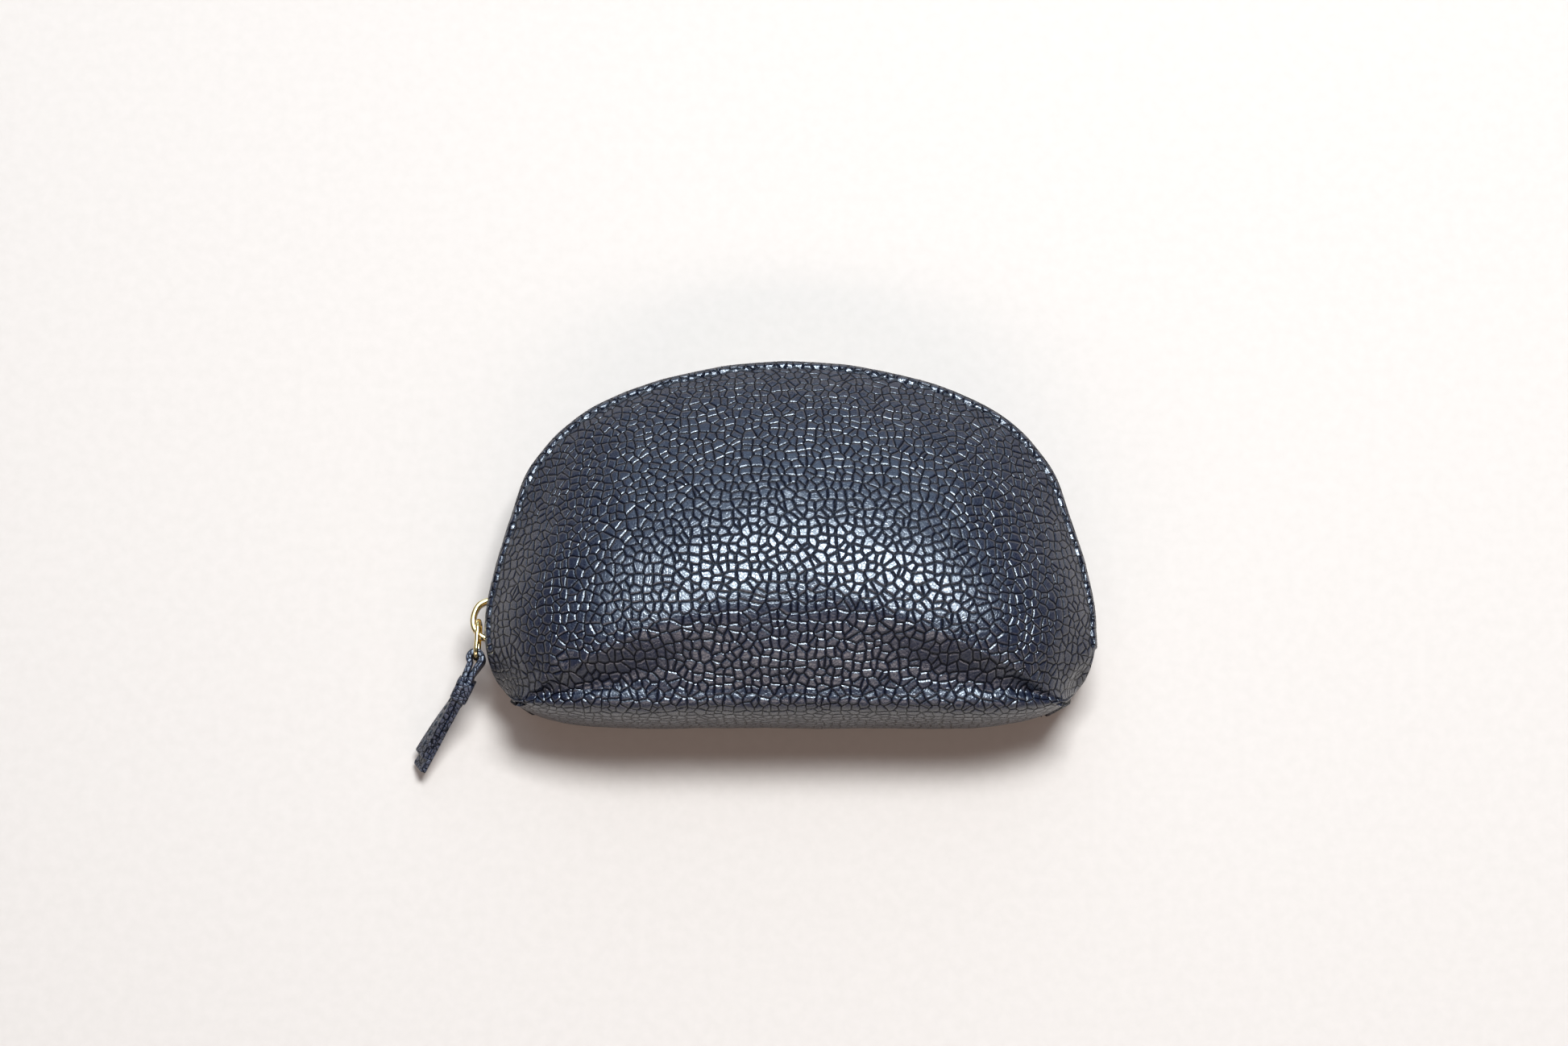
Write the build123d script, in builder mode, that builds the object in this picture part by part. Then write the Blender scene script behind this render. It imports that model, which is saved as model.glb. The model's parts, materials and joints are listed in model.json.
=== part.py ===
"""Half-moon leather coin purse with a zip over its arch, lying on its back panel.

X runs across the purse, Y from the base to the top of the arch, and Z up out of the front panel.
The origin lies on the flat patch that the back panel rests on. All sizes are in millimetres.
"""
import math
import os

from build123d import *

# the purse body
half_width = 70.0           # at the widest place of the arch
arch_height = 80.0          # from the base line to the top of the arch
depth = 46.5                # from the resting face to the highest place of the front panel
base_y = -30.0              # Y of the base line
base_half_length = 60.0
base_bulge = 5.0            # how far the middle of the base stands out
base_height = 38.0          # from the back fold to the front fold
leather = 1.4
lining = 0.5
lining_inset = 2.9          # outer face of the leather to outer face of the lining
board = 1.0                 # stiffener of the base
fold_y = base_y + 1.0       # where the front panel folds up from the base
fold_gap = 0.3

# the seam plane and the mouth
seam_z = 16.0
rim_gap = 5.2               # each leather rim stands this far from the seam plane
seam_end = base_y + 7.0     # the side seams are sewn up to here
stitch_pitch = 2.55
stitch_length = 1.9
stitch_size = 0.5
stitch_inset = 1.6          # stitch line to the leather's edge

# the zip runs on a circle, so that its slider turns about one axis
zip_centre_y = base_y + 11.0
zip_radius = 66.7
tooth_pitch = 2.8
tooth_width = 1.25
tooth_thickness = 2.2
tooth_reach = 0.8           # how far a tooth's head passes the seam plane
tooth_root = 2.9
tape_thickness = 0.5
tape_edge = 1.8             # seam plane to the tape's inner edge
tape_width = 4.6
chain_start, chain_end = 4.2, 167.4      # degrees round the circle
tape_start, tape_end = -0.5, 180.5
bottom_stop_angle = 2.0
slider_angle = 173.1

# the slider and its crown
slider_length = 11.0
slider_half_width = 4.75
tail_half_width = 3.7
channel = 1.35              # half the height between the plates
plate = 1.0
flange = 0.7
slot = 0.6                  # half the slot that the tape runs through
post_half_width = 1.5
crown_length = 9.0
crown_height = 4.7
crown_thickness = 1.4
crown_width = 3.2

# the ring and the strap
wire = 0.55                 # radius of the ring's wire
ring_length = 9.8
ring_width = 7.4
ring_corner = 2.0
ring_lean = 3.5             # degrees that the ring leans away from the purse
strap_width = 5.0
strap_leather = 1.4
loop_radius = 2.9
keeper_leather = 0.8
strap_clearance = 0.08

# half-moon outlines: height over the rest, share of the width, share of the arch, shift of the base
back_levels = [
    (0.0, 0.70, 0.68, 5.0),
    (3.2, 0.90, 0.90, 0.5),
    (seam_z - 8.0, 1.0, 1.0, 0.0),
    (seam_z - 0.1, 1.0, 1.0, 0.0),
]
front_levels = [
    (seam_z + 0.1, 1.0, 1.0, 0.0),
    (seam_z + 8.0, 1.0, 1.0, 0.0),
    (30.0, 0.965, 0.955, 0.0),
    (38.0, 0.87, 0.85, 1.5),
    (43.5, 0.70, 0.66, 8.0),
    (depth, 0.44, 0.40, 18.0),
]

# right half of the arch over the base line: the top's arc, the shoulder's arc, a straight side and the ear
arch = [(33.9, 74.3), (51.4, 63.3), (63.3, 42.7), (half_width, 17.7), (68.3, 6.5), (62.0, 0.0)]

# the strap's middle line from its loop to its tip over the base line, and its twist in degrees
strap_route = [
    (-72.8, 9.0, 16.0, 0),
    (-73.5, 6.2, 15.6, 3),
    (-74.9, 3.2, 14.2, 10),
    (-77.2, 0.0, 11.6, 19),
    (-80.4, -4.3, 8.2, 28),
    (-83.4, -8.8, 5.3, 35),
    (-86.0, -13.0, 3.6, 40),
]


def save(piece, name):
    """Labels a finished piece and writes its STEP."""
    piece.part.label = name
    export_step(piece.part, f"parts/{name}.step")


def half_moon(wide, tall, shift):
    """One half-moon outline, closed by the straight base line."""
    right = [(x * wide, base_y + shift + y * tall) for x, y in arch]
    left = [(-x, y) for x, y in right]
    top = (0, base_y + shift + arch_height * tall)
    with BuildSketch() as moon:
        with BuildLine():
            ThreePointArc(left[0], top, right[0])
            for side in (right, left):
                ThreePointArc(*side[0:3])
                Line(*side[2:4])
                ThreePointArc(*side[3:6])
            Line(left[-1], right[-1])
        make_face()
    return moon.sketch


def dome(levels, inset, lift):
    """A solid through the given levels, drawn in by inset at its sides and lifted by lift."""
    narrower = inset / half_width
    shorter = 2 * inset / arch_height
    with BuildPart() as body:
        for height, wide, tall, shift in levels:
            with BuildSketch(Plane.XY.offset(height + lift)):
                add(half_moon(wide - narrower, tall - shorter, shift + inset))
        loft(ruled=True)
    return body.part


def wall(levels, outer, thickness, inward):
    """One panel of a dome, open towards the seam plane. inward is 1 where the inside lies upwards."""
    with BuildPart() as body:
        add(dome(levels, outer, inward * outer))
        add(dome(levels, outer + thickness, inward * (outer + thickness)), mode=Mode.SUBTRACT)
    return body.part


def base_band(outer, thickness, half_length, edge):
    """The curved wall of the base, from its back edge to its front edge, up to Y = edge."""
    radius = (base_height**2 / 4 + base_bulge**2) / (2 * base_bulge)
    middle = (fold_y - base_bulge + radius, base_height / 2 + 0.4)
    with BuildPart() as body:
        with BuildSketch(Plane.YZ.offset(-half_length)):
            with Locations(middle):
                Circle(radius - outer)
                Circle(radius - outer - thickness, mode=Mode.SUBTRACT)
            with Locations((edge - radius, middle[1])):
                Rectangle(2 * radius, base_height - 2 * outer, mode=Mode.INTERSECT)
        extrude(amount=2 * half_length)
    return body.part


def base_ends(outer, thickness, half_length, edge):
    """The two ends that close the base, as plates inside its curved wall."""
    radius = (base_height**2 / 4 + base_bulge**2) / (2 * base_bulge)
    middle = (fold_y - base_bulge + radius, base_height / 2 + 0.4)
    with BuildPart() as body:
        for start in (-half_length, half_length - thickness):
            with BuildSketch(Plane.YZ.offset(start)):
                with Locations(middle):
                    Circle(radius - outer)
                with Locations((edge - radius, middle[1])):
                    Rectangle(2 * radius, base_height - 2 * outer, mode=Mode.INTERSECT)
            extrude(amount=thickness)
    return body.part


def above_fold(gap):
    """The fold plane, shifted towards the arch by gap."""
    return Plane.XZ.offset(-(fold_y + gap))


def on_circle(angle):
    """A point of the zip's circle, in the seam plane."""
    turn = math.radians(angle)
    return Vector(zip_radius * math.cos(turn), zip_centre_y + zip_radius * math.sin(turn), seam_z)


def outward(angle):
    """The direction out of the purse at an angle of the zip's circle."""
    return Vector(math.cos(math.radians(angle)), math.sin(math.radians(angle)), 0)


os.makedirs("parts", exist_ok=True)

# the leather: front panel, back panel and base, one skin that is parted at its folds
mouth = Location((0, seam_end + arch_height / 2, seam_z))

with BuildPart() as front_panel:
    add(wall(front_levels, 0, leather, -1))
    with Locations(mouth):
        Box(3 * half_width, arch_height, 2 * rim_gap, mode=Mode.SUBTRACT)
    split(bisect_by=above_fold(fold_gap), keep=Keep.BOTTOM)
save(front_panel, "front_panel")

with BuildPart() as back_panel:
    add(wall(back_levels, 0, leather, 1))
    with Locations(mouth):
        Box(3 * half_width, arch_height, 2 * rim_gap, mode=Mode.SUBTRACT)
    split(bisect_by=above_fold(0), keep=Keep.BOTTOM)
save(back_panel, "back_panel")

with BuildPart() as base_panel:
    add(base_band(0, leather, base_half_length, fold_y))
    add(base_ends(0, leather, base_half_length, fold_y))
save(base_panel, "base_panel")

# the lining bag, which hangs inside the leather and stops short of the zip tape
lining_rim = tape_edge + tape_width + 0.4

with BuildPart() as front_lining:
    add(wall(front_levels, lining_inset, lining, -1))
    split(bisect_by=Plane.XY.offset(seam_z + lining_rim), keep=Keep.TOP)
    split(bisect_by=above_fold(lining_inset), keep=Keep.BOTTOM)
save(front_lining, "front_lining")

with BuildPart() as back_lining:
    add(wall(back_levels, lining_inset, lining, 1))
    split(bisect_by=Plane.XY.offset(seam_z - lining_rim), keep=Keep.BOTTOM)
    split(bisect_by=above_fold(lining_inset), keep=Keep.BOTTOM)
save(back_lining, "back_lining")

lining_half_length = base_half_length - lining_inset
with BuildPart() as base_lining:
    add(base_band(lining_inset, lining, lining_half_length, fold_y))
    add(base_ends(lining_inset, lining, lining_half_length, fold_y))
save(base_lining, "base_lining")

# the board that keeps the base flat, between its leather and its lining
with BuildPart() as base_board:
    add(base_band(leather + 0.2, board, base_half_length - 4, fold_y - 1))
save(base_board, "base_board")

# the two halves of the zip: tape, teeth and top stop
tooth_step = math.degrees(tooth_pitch / zip_radius)
tooth_count = int((chain_end - chain_start) / tooth_step)
for side, half_name, first in ((1, "front", 0.25), (-1, "back", 0.75)):
    with BuildPart() as tape:
        with BuildSketch(Plane.XY.offset(seam_z + side * tape_edge)):
            with BuildLine():
                inner, outer = [
                    CenterArc((0, zip_centre_y), radius, tape_start, tape_end - tape_start)
                    for radius in (zip_radius - tape_thickness / 2, zip_radius + tape_thickness / 2)
                ]
                Line(inner @ 0, outer @ 0)
                Line(inner @ 1, outer @ 1)
            make_face()
        extrude(amount=side * tape_width)
    save(tape, f"{half_name}_zip_tape")

    middle = Vector(0, 0, side * (tooth_root - tooth_reach) / 2)
    angles = [chain_start + (first + number) * tooth_step for number in range(tooth_count)]
    with BuildPart() as teeth:
        with Locations(*[
            Location(Plane(on_circle(angle) + middle, x_dir=(0, 0, 1), z_dir=outward(angle)))
            for angle in angles
        ]):
            Box(tooth_reach + tooth_root, tooth_width, tooth_thickness)
    save(teeth, f"{half_name}_zip_teeth")

    stop_place = on_circle(tape_end - 1.0) + Vector(0, 0, side * (tape_edge + 0.6))
    with BuildPart() as top_stop:
        with Locations(Plane(stop_place, x_dir=(0, 0, 1), z_dir=outward(tape_end))):
            Box(2.2, 1.2, 2.0)
            fillet(top_stop.edges(), 0.25)
    save(top_stop, f"{half_name}_top_stop")

# the bottom stop is clamped on the back tape and reaches just short of the front one
stop_reach = tooth_root + tape_edge - 0.2
stop_place = on_circle(bottom_stop_angle) + Vector(0, 0, stop_reach / 2 - tooth_root)
with BuildPart() as bottom_stop:
    with Locations(Plane(stop_place, x_dir=(0, 0, 1), z_dir=outward(bottom_stop_angle))):
        Box(stop_reach, 2.6, 2.4)
        fillet(bottom_stop.edges(), 0.4)
save(bottom_stop, "bottom_stop")

# the topstitching round each rim, as short runs of thread on the leather
with BuildLine() as rim:
    right = [(x, base_y + y) for x, y in arch]
    left = [(-x, y) for x, y in right]
    Line(left[3], left[2])
    ThreePointArc(left[2], left[1], left[0])
    ThreePointArc(left[0], (0, base_y + arch_height), right[0])
    ThreePointArc(*right[0:3])
    Line(right[2], right[3])
rim_line = rim.wires()[0]
stitch_count = int(rim_line.length / stitch_pitch)
for side, half_name in ((1, "front"), (-1, "back")):
    level = seam_z + side * (rim_gap + stitch_inset)
    places = []
    for number in range(stitch_count):
        share = (number + 0.5) / stitch_count
        along = rim_line % share
        out = Vector(-along.Y, along.X, 0)
        spot = rim_line @ share + out * (stitch_size / 2 + 0.1) + Vector(0, 0, level)
        places.append(Location(Plane(spot, x_dir=along, z_dir=out)))
    with BuildPart() as topstitch:
        with Locations(*places):
            Box(stitch_length, stitch_size, stitch_size)
    save(topstitch, f"{half_name}_topstitch")

# the slider: local x towards its nose, which leads as the zip closes, local z out of the purse
slider_place = on_circle(slider_angle)
facing = outward(slider_angle)
forward = Vector(-facing.Y, facing.X, 0)
half_length = slider_length / 2


def slider_plane(height):
    """A plane parallel to the slider's plates, at a height over the chain."""
    return Plane(slider_place + facing * height, x_dir=forward, z_dir=facing)


with BuildPart() as slider_body:
    for height in (channel, -channel - plate):
        with BuildSketch(slider_plane(height)) as outline:
            with BuildLine():
                Polyline(
                    (-half_length, -tail_half_width),
                    (0, -tail_half_width),
                    (half_length * 0.45, -slider_half_width),
                    (half_length, -slider_half_width),
                    (half_length, slider_half_width),
                    (half_length * 0.45, slider_half_width),
                    (0, tail_half_width),
                    (-half_length, tail_half_width),
                    close=True,
                )
            make_face()
            fillet(outline.vertices().group_by(Axis.X)[-1], 1.4)
        extrude(amount=plate)
    with BuildSketch(slider_plane(-channel)):
        with Locations((half_length - 2.6, 0)):
            RectangleRounded(4.2, 2 * post_half_width, 1.2)
    extrude(amount=2 * channel)
    for low in (-channel, slot):
        with BuildSketch(slider_plane(low)):
            with Locations(
                (-half_length / 2, tail_half_width - flange / 2),
                (-half_length / 2, flange / 2 - tail_half_width),
            ):
                Rectangle(half_length, flange)
        extrude(amount=channel - slot)
save(slider_body, "slider_body")

# the crown, an arched loop over the outer plate that the ring passes through
foot = channel + plate
half_crown = crown_length / 2
with BuildPart() as slider_crown:
    with BuildSketch(Plane(slider_place, x_dir=forward, z_dir=(0, 0, -1))):
        for inset in (0, crown_thickness):
            half, top = half_crown - inset, foot + crown_height - inset
            with BuildLine():
                ThreePointArc((-half, foot), (-half * 0.45, top - 0.6), (0, top))
                ThreePointArc((0, top), (half * 0.6, top - 0.8), (half, foot))
                Line((half, foot), (-half, foot))
            make_face(mode=Mode.SUBTRACT if inset else Mode.ADD)
    extrude(amount=crown_width / 2, both=True)
save(slider_crown, "slider_crown")

# the ring, pivoted inside the crown
lean = math.radians(ring_lean)
ring_way = Vector(-math.sin(lean), -math.cos(lean), 0)
pivot = slider_place + facing * (foot + crown_height - crown_thickness - wire - 0.25) + forward * 0.6
run = ring_length - 2 * wire
half_run = ring_width / 2 - wire
ring_plane = Plane(pivot + ring_way * run / 2, x_dir=ring_way, z_dir=ring_way.cross(Vector(0, 0, 1)))
with BuildSketch(ring_plane) as ring_shape:
    RectangleRounded(run, 2 * half_run, ring_corner)
ring_line = ring_shape.sketch.face().outer_wire()
with BuildPart() as pull_ring:
    with BuildSketch(Plane(ring_line @ 0.5, z_dir=ring_line % 0.5)):
        Circle(wire)
    sweep(path=ring_line)
save(pull_ring, "pull_ring")

# the strap: a strip folded round the ring's far bar, its two layers sewn into one tail
bar = pivot + ring_way * run


def strap_sections(route, thick, wide):
    """A solid of rectangular section along part of the strap's route."""
    points = [Vector(x, base_y + y, z) for x, y, z, _ in route]
    with BuildPart() as body:
        for number, point in enumerate(points):
            before, after = points[max(number - 1, 0)], points[min(number + 1, len(points) - 1)]
            along = (after - before).normalized()
            face = Plane(point, x_dir=along.cross(Vector(0, 0, 1)), z_dir=along)
            with BuildSketch(face.rotated((0, 0, -route[number][3]))):
                Rectangle(thick, wide)
        loft(ruled=True)
    return body.part


with BuildPart() as pull_strap:
    add(strap_sections(strap_route, 2 * strap_leather, strap_width))
    with BuildSketch(Plane.XY.offset(seam_z - strap_width / 2)):
        with Locations((bar.X - 0.75, bar.Y + 0.55)):
            Circle(loop_radius)
    extrude(amount=strap_width)
    with BuildSketch(Plane.XY.offset(seam_z - strap_width / 2)):
        with Locations((bar.X - 0.75, bar.Y + 0.55)):
            Circle(loop_radius - strap_leather)
    extrude(amount=strap_width, mode=Mode.SUBTRACT)
save(pull_strap, "pull_strap")

keeper_route = strap_route[1:3]
grown = 2 * (keeper_leather + strap_clearance)
with BuildPart() as strap_keeper:
    add(strap_sections(keeper_route, 2 * strap_leather + grown, strap_width + grown))
    add(
        strap_sections(
            strap_route[0:4],
            2 * (strap_leather + strap_clearance),
            strap_width + 2 * strap_clearance,
        ),
        mode=Mode.SUBTRACT,
    )
save(strap_keeper, "strap_keeper")

print("zip axis", (0, zip_centre_y), "ring pivot", tuple(pivot), "ring bar", tuple(bar))
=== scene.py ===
# %% [markdown]
# # A half-moon leather coin purse
# The purse is two half-moon panels of pebbled cowhide round a flat base, closed by a zip over the arch.
# It lies on its back panel. X runs across it, Y from the base to the top of the arch, and Z up.
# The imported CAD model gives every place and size, so it is loaded first and never changed.

# %% Load the frame
import json
import math
import random

import bmesh
import bpy
import numpy as np
from mathutils import Matrix, Vector, noise


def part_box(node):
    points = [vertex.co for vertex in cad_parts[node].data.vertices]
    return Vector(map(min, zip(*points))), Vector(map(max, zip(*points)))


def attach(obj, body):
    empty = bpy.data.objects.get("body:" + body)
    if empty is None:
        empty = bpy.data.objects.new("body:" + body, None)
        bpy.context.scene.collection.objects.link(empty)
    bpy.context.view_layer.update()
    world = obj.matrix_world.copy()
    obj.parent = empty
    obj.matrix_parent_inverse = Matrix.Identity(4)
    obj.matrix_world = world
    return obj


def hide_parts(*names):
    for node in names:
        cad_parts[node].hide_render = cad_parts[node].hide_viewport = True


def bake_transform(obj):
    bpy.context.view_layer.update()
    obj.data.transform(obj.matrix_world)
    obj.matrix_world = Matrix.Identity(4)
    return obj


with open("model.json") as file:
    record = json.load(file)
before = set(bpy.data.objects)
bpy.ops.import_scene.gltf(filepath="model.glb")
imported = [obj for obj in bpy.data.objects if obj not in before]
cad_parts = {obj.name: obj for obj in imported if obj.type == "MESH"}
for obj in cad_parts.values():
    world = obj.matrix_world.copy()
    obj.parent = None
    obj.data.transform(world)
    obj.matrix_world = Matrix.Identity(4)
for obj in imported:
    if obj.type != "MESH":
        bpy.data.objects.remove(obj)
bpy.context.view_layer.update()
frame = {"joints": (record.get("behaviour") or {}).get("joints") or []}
MM = 0.001
random.seed(7)

# %% Places read from the frame
panel_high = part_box("front_panel")[1]
base_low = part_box("base_panel")[0]
joints = {joint["name"]: joint for joint in frame["joints"]}
zip_centre = Vector(joints["zip_run"]["pos_m"])
ring_pivot = Vector(joints["ring_swing"]["pos_m"])
ring_bar = Vector(joints["strap_swing"]["pos_m"])
seam_z = zip_centre.z
arch_top = panel_high.y
half_width = panel_high.x
base_y = base_low.y + 4 * MM
print("seam plane", seam_z, "arch top", arch_top, "half width", half_width)


# %% [markdown]
# ## Helpers
# A colour is written as the sRGB hex value that a maker would quote, and Blender shades in linear light,
# so one function turns hex into linear. A second one adds any node with its settings and links, and the
# last one uses it twice, to run a colour between two.

# %% Colour and node helpers
# the mix node repeats its socket names for each kind of value, so its colour sockets go by number
MIX_SHARE, MIX_A, MIX_B, MIX_COLOUR = 0, 6, 7, 2


def linear(hex_colour):
    """The linear RGBA of an sRGB hex colour."""
    parts = [int(hex_colour[i:i + 2], 16) / 255 for i in (0, 2, 4)]
    return (*[p / 12.92 if p <= 0.04045 else ((p + 0.055) / 1.055) ** 2.4 for p in parts], 1.0)


def node(tree, kind, settings=None, values=None, links=None):
    """Adds a node. settings are its attributes, values its sockets' numbers, links its sockets' sources."""
    made = tree.nodes.new(kind)
    for name, value in (settings or {}).items():
        setattr(made, name, value)
    for name, value in (values or {}).items():
        made.inputs[name].default_value = value
    for name, source in (links or {}).items():
        tree.links.new(source, made.inputs[name])
    return made


def material(name, **values):
    """A new material, its tree and its shader with constant values on the shader's own sockets."""
    made = bpy.data.materials.new(name)
    made.use_nodes = True
    shader = made.node_tree.nodes["Principled BSDF"]
    for socket, value in values.items():
        shader.inputs[socket.replace("_", " ")].default_value = value
    return made, made.node_tree, shader


def two_tone(tree, source, low, high):
    """A colour that runs between two as a number goes from low to high. Both are (number, hex colour)."""
    share = node(tree, "ShaderNodeMapRange", values={"From Min": low[0], "From Max": high[0]},
                 links={"Value": source})
    mix = node(tree, "ShaderNodeMix", {"data_type": "RGBA"},
               {MIX_A: linear(low[1]), MIX_B: linear(high[1])}, {MIX_SHARE: share.outputs["Result"]})
    return mix.outputs[MIX_COLOUR]


print("sRGB mid grey in linear light", round(linear("808080")[0], 4))

# %% [markdown]
# ## Pebbled cowhide
# The hide is drum-dyed a black navy, milled until its grain stands up in pebbles, and finished with a thin
# clear topcoat. The eye sees rounded cells about 2 mm across, dark fine creases between them, and a soft
# bluish gloss that breaks into one small glint on each pebble. The cells are a Voronoi pattern, bent by
# noise so that no crease is straight, and drawn as height, so the gloss comes from the lights.
# The colour is also run darker into the creases, as painted shade.

# %% Make the leather materials
GRAIN = 2.15 * MM           # one pebble of the grain
LEATHER_IOR = 1.5


def cowhide(name, painted_crease_shade, pale, grain, depth, rough, flat):
    """Pebbled leather: painted crease shade and pebble colours, grain width, crease depth and roughness."""
    made, tree, shader = material(name, IOR=LEATHER_IOR)
    place = node(tree, "ShaderNodeTexCoord")
    hide_place = place.outputs["Object"]
    if flat:
        hide_place = node(tree, "ShaderNodeAttribute", {"attribute_name": "hide"}).outputs["Vector"]
    dims = "2D" if flat else "3D"
    bend = node(tree, "ShaderNodeTexNoise", {"noise_dimensions": dims},
                {"Scale": 0.45 / grain, "Detail": 2.0}, {"Vector": hide_place})
    bent = node(tree, "ShaderNodeVectorMath", {"operation": "MULTIPLY_ADD"},
                links={0: bend.outputs["Color"], 2: hide_place})
    bent.inputs[1].default_value = (grain * 0.5,) * 3
    crease = node(tree, "ShaderNodeTexVoronoi",
                  {"feature": "DISTANCE_TO_EDGE", "voronoi_dimensions": dims},
                  {"Scale": 1 / grain, "Randomness": 0.85}, {"Vector": bent.outputs[0]})
    pebble = node(tree, "ShaderNodeMapRange", {"interpolation_type": "SMOOTHSTEP"},
                  {"From Min": 0.0, "From Max": 0.24}, {"Value": crease.outputs["Distance"]})
    fine_edge = node(tree, "ShaderNodeTexVoronoi",
                     {"feature": "DISTANCE_TO_EDGE", "voronoi_dimensions": dims},
                     {"Scale": 2.6 / grain, "Randomness": 1.0}, {"Vector": bent.outputs[0]})
    fine = node(tree, "ShaderNodeMapRange", {"interpolation_type": "SMOOTHSTEP"},
                {"From Min": 0.0, "From Max": 0.18}, {"Value": fine_edge.outputs["Distance"]})
    pores = node(tree, "ShaderNodeTexNoise", values={"Scale": 6 / grain, "Detail": 4.0},
                 links={"Vector": place.outputs["Object"]})
    first = node(tree, "ShaderNodeBump", values={"Strength": 0.25, "Distance": depth * 0.4},
                 links={"Height": pores.outputs["Fac"]})
    second = node(tree, "ShaderNodeBump", values={"Strength": 0.25, "Distance": depth * 0.5},
                  links={"Height": fine.outputs["Result"], "Normal": first.outputs["Normal"]})
    third = node(tree, "ShaderNodeBump", values={"Strength": 1.0, "Distance": depth},
                 links={"Height": pebble.outputs["Result"], "Normal": second.outputs["Normal"]})
    tree.links.new(third.outputs["Normal"], shader.inputs["Normal"])
    # painted shade: the colour runs to the darker one in the creases
    colour = two_tone(tree, pebble.outputs["Result"], (0.0, painted_crease_shade), (0.6, pale))
    tree.links.new(colour, shader.inputs["Base Color"])
    topcoat = node(tree, "ShaderNodeMapRange", {"interpolation_type": "SMOOTHSTEP"},
                   {"From Min": 0.02, "From Max": 0.13, "To Min": 0.08, "To Max": 0.9},
                   {"Value": crease.outputs["Distance"]})
    tree.links.new(topcoat.outputs["Result"], shader.inputs["Specular IOR Level"])
    gloss = node(tree, "ShaderNodeMapRange", values={"From Min": 0.3, "From Max": 0.7,
                 "To Min": rough - 0.05, "To Max": rough + 0.08},
                 links={"Value": pores.outputs["Fac"]})
    tree.links.new(gloss.outputs["Result"], shader.inputs["Roughness"])
    return made


# the first colour of each is the painted shade in its creases, the second the pebbles' own colour
hide = cowhide("pebbled_cowhide", "020206", "0e1322", GRAIN, 0.21 * MM, 0.29, True)
strap_hide = cowhide("strap_cowhide", "05060a", "1a2032", GRAIN * 0.5, 0.10 * MM, 0.40, False)
print("materials", [m.name for m in bpy.data.materials])

# %% [markdown]
# ## Cloth, thread and plated brass
# The lining is a cotton twill with its ribs on the slant, 0.6 mm apart. The zip tape is a woven polyester
# ribbon. The thread is bonded nylon. The slider, ring and teeth are brass with a polished pale gold plate,
# so they need only a metal colour, low roughness and the slight waviness that die casting leaves.

# %% Make the cloth, thread and metal materials
def woven(name, warp, weft, pitch, rough):
    """Cloth with slanted ribs: two thread colours and the rib spacing."""
    made, tree, shader = material(name, Roughness=rough, IOR=1.46, Sheen_Weight=0.25)
    place = node(tree, "ShaderNodeTexCoord")
    rib = node(tree, "ShaderNodeTexWave", {"bands_direction": "DIAGONAL"},
               {"Scale": 0.32 / pitch, "Distortion": 0.6, "Detail": 1.0},
               {"Vector": place.outputs["Object"]})
    across = node(tree, "ShaderNodeTexWave", {"bands_direction": "X"},
                  {"Scale": 0.5 / pitch, "Distortion": 0.4}, {"Vector": place.outputs["Object"]})
    both = node(tree, "ShaderNodeMath", {"operation": "MULTIPLY"},
                links={0: rib.outputs["Fac"], 1: across.outputs["Fac"]})
    bump = node(tree, "ShaderNodeBump", values={"Strength": 0.6, "Distance": 0.1 * MM},
                links={"Height": both.outputs[0]})
    tree.links.new(bump.outputs["Normal"], shader.inputs["Normal"])
    colour = two_tone(tree, both.outputs[0], (0.1, weft), (0.8, warp))
    tree.links.new(colour, shader.inputs["Base Color"])
    return made


def plated_brass(name, hex_colour, rough):
    """Polished pale gold plate over die-cast brass."""
    made, tree, shader = material(name, Metallic=1.0)
    place = node(tree, "ShaderNodeTexCoord")
    wave = node(tree, "ShaderNodeTexNoise", values={"Scale": 1 / (3 * MM), "Detail": 3.0},
                links={"Vector": place.outputs["Object"]})
    gloss = node(tree, "ShaderNodeMapRange", values={"To Min": rough - 0.04, "To Max": rough + 0.06},
                 links={"Value": wave.outputs["Fac"]})
    tree.links.new(gloss.outputs["Result"], shader.inputs["Roughness"])
    colour = two_tone(tree, wave.outputs["Fac"], (0.2, "d8b878"), (0.8, hex_colour))
    tree.links.new(colour, shader.inputs["Base Color"])
    bump = node(tree, "ShaderNodeBump", values={"Strength": 0.15, "Distance": 0.05 * MM},
                links={"Height": wave.outputs["Fac"]})
    tree.links.new(bump.outputs["Normal"], shader.inputs["Normal"])
    return made


twill = woven("cotton_twill", "4a4f5c", "2a2e38", 0.6 * MM, 0.85)
ribbon = woven("woven_polyester_tape", "20232b", "0e1016", 0.45 * MM, 0.75)
nylon = woven("bonded_nylon_thread", "20242e", "0b0d12", 0.2 * MM, 0.5)
gold = plated_brass("pale_gold_plate", "f0dca4", 0.17)
teeth_gold = plated_brass("pale_gold_teeth", "e6cb8c", 0.24)
print("materials", [m.name for m in (twill, ribbon, nylon, gold, teeth_gold)])


# %% [markdown]
# ## The shape of the skin
# A real panel is cut flat and pulled into a dome by its seams. Here one function gives the arch's outline
# and a second one raises the dome over it, so the leather, its lining and its stitches all share one
# surface. Rays run from a middle point to the outline, and every ray rises on the same kind of curve:
# round at the top of the arch, and steep beside the base, where the corners are pinched.

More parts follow.
